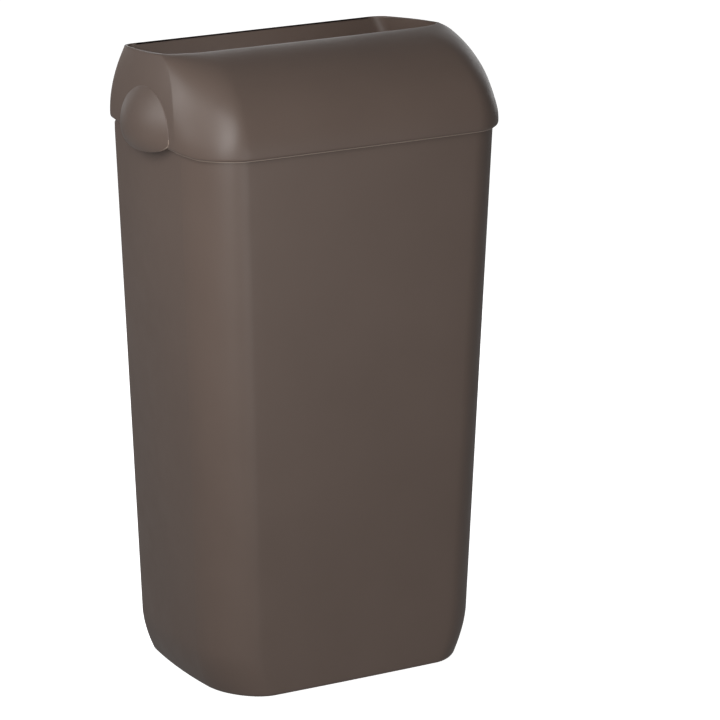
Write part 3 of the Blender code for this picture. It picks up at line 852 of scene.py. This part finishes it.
def make_bracket():
    """A flat plate against the wall, with two hooks pressed out of it and two countersunk holes."""
    wall_face = REAR
    front_face = REAR - STEEL
    bracket = slab("bracket_pressed", BRACKET_HALF, BRACKET_LOW, BRACKET_HIGH, BRACKET_CORNER,
                   front_face, wall_face)
    lean = STEEL * math.sqrt(2)     # height of a sheet that leans by 45 degrees
    root_y = wall_face - HOOK_SUNK
    tip_y = front_face - HOOK_LENGTH
    for x in (-HOOK_X, HOOK_X):
        window = slab("window", HOOK_HALF + WINDOW_SIDE, HOOK_ROOT + CUT_PAST, HOOK_ROOT + WINDOW_ABOVE,
                      WINDOW_CORNER, front_face - CUT_PAST, wall_face + CUT_PAST)
        combine(bracket, moved(window, x), "DIFFERENCE")
        profile = [
            (root_y, HOOK_ROOT - lean), (root_y, HOOK_ROOT),
            (tip_y, HOOK_ROOT + HOOK_LENGTH + STEEL - HOOK_TIP_TOP),
            (tip_y, HOOK_ROOT + HOOK_LENGTH - HOOK_TIP_UNDER),
        ]
        hook = bent_sheet("hook", profile, [0, 0, HOOK_SOFT, HOOK_SOFT], HOOK_HALF)
        combine(bracket, moved(hook, x), "UNION")
    countersink = [(SCREW_HOLE * (SCREW_SINK + 0.3), -CUT_PAST), (SCREW_HOLE * SCREW_SINK, 0.0),
                   (SCREW_HOLE, SCREW_SINK_DEPTH), (SCREW_HOLE, STEEL + 2 * CUT_PAST)]
    for x in (-SCREW_X, SCREW_X):
        hole = turned("screw_hole", countersink, (x, front_face, SCREW_Z), "Y", 40)
        combine(bracket, hole, "DIFFERENCE")
    soften(bracket, BRACKET_BEVEL)
    return bracket


def make_foot(spot, x, y):
    """A rubber disc with a round groove in its sole."""
    depths = (0.0, FOOT_GROOVE_DEPTH, FOOT_GROOVE_DEPTH, 0.0)
    profile = [(FOOT_RADIUS * share, depth) for share, depth in zip(FOOT_GROOVE, depths)]
    profile += [(FOOT_RADIUS - FOOT_SOFT * (1 - up), FOOT_SOFT * (1 - out)) for up, out in quarter(5)]
    profile.append((FOOT_RADIUS, FOOT_HEIGHT))
    return turned("foot_" + spot, profile, (x, y, 0), "Z", 56)


# ---- build -------------------------------------------------------------

finish_piece(make_tub(), "tub", ["tub_body"], BROWN)
finish_piece(make_hood(), "hood", ["hood"], BROWN)
finish_piece(make_bag_ring(), "bag_ring", ["bag_ring"], DARK)
finish_piece(make_hanger(), "tub", ["hanger_plate"], STEEL_LOOK)
finish_piece(make_bracket(), "wall_bracket", ["wall_bracket"], STEEL_LOOK)
for spot, x, z in rivet_spots():
    finish_piece(make_rivet(spot, x, z), "tub", ["hanger_rivet_" + spot], RIVET_LOOK)
for end, y in (("front", FOOT_Y[0]), ("rear", FOOT_Y[1])):
    for hand, x in (("left", -FOOT_X), ("right", FOOT_X)):
        foot = make_foot(f"{end}_{hand}", x, y)
        finish_piece(foot, "tub", [f"foot_pad_{end}_{hand}"], RUBBER)

# ---- floor, light, camera ----------------------------------------------

def make_floor():
    """A pale floor that glows a little and neither shades nor tints the bin."""
    work = bmesh.new()
    bmesh.ops.create_grid(work, x_segments=4, y_segments=4, size=FLOOR_SIZE)
    floor = add_object("floor", work)
    made, _, shader = start_material("pale_floor")
    shader.inputs["Base Color"].default_value = (0.86, 0.86, 0.86, 1)
    shader.inputs["Roughness"].default_value = 0.9
    shader.inputs["Specular IOR Level"].default_value = 0.0
    shader.inputs["Emission Color"].default_value = (1, 1, 1, 1)
    shader.inputs["Emission Strength"].default_value = FLOOR_GLOW
    floor.data.materials.append(made)
    floor.visible_glossy = False
    floor.visible_diffuse = False
    floor.visible_shadow = False


def softbox(name, place, aim, width, height, power):
    """A white rectangular lamp that the camera doesn't see."""
    data = bpy.data.lights.new(name, "AREA")
    data.shape = "RECTANGLE"
    data.size = width
    data.size_y = height
    data.energy = power
    lamp = bpy.data.objects.new(name, data)
    bpy.context.scene.collection.objects.link(lamp)
    lamp.location = place
    lamp.rotation_mode = "QUATERNION"
    lamp.rotation_quaternion = (Vector(aim) - Vector(place)).to_track_quat("-Z", "Y")
    lamp.visible_camera = False


def around(azimuth, elevation, distance=LAMP_DISTANCE):
    """A place round the bin: azimuth 0 is in front of it, -90 on its left."""
    turn, tip = math.radians(azimuth), math.radians(elevation)
    away = Vector((math.sin(turn) * math.cos(tip), -math.cos(turn) * math.cos(tip), math.sin(tip)))
    return away * distance + MIDDLE


make_floor()
# Name, place, aim, width and height in metres, watts
softbox("key_high", around(-45, 35), MIDDLE, 0.75, 0.75, 8.6)
softbox("key_low", around(-45, 12), MIDDLE, 0.75, 0.75, 9.4)
softbox("front", around(0, -6), LOWER_FRONT, 0.90, 0.40, 3.5)
softbox("left", around(-70, 35), MIDDLE, 0.75, 0.75, 2.2)
softbox("left_rear", around(-112, 35, 1.1), UPPER_LEFT, 0.55, 0.55, 3.1)
softbox("rear_fill", around(165, 15), MIDDLE, 1.00, 0.75, 3.0)
softbox("right_fill", around(125, 15), MIDDLE, 0.75, 0.75, 2.6)
# What a floor would throw back comes from a lamp just under it, aimed straight up.
softbox("floor_bounce", Vector((0, 0, -0.004)), Vector((0, 0, 1)), 4.0, 4.0, 5.5)
# A small lamp in the tub, aimed at the mouth, lifts the inside of the hood.
softbox("inside", Vector((0, -0.02, 0.50)), Vector((0, 0.05, 0.62)), 0.20, 0.06, 0.15)

world = bpy.data.worlds.new("studio")
world.use_nodes = True
sky = world.node_tree.nodes["Background"]
sky.inputs["Color"].default_value = (1, 1, 1, 1)
sky.inputs["Strength"].default_value = WORLD_GLOW
bpy.context.scene.world = world
bpy.context.scene.view_settings.view_transform = "Standard"

camera_data = bpy.data.cameras.new("camera")
camera_data.lens = LENS
camera_data.sensor_width = 36.0
camera_data.clip_start = 0.1
camera_data.clip_end = 100.0
camera = bpy.data.objects.new("camera", camera_data)
bpy.context.scene.collection.objects.link(camera)
right = CAMERA_RIGHT.normalized()
back = CAMERA_BACK.normalized()
up = back.cross(right)
place = Matrix((right, up, back)).transposed().to_4x4()
place.translation = CAMERA_PLACE
camera.matrix_world = place
bpy.context.scene.camera = camera
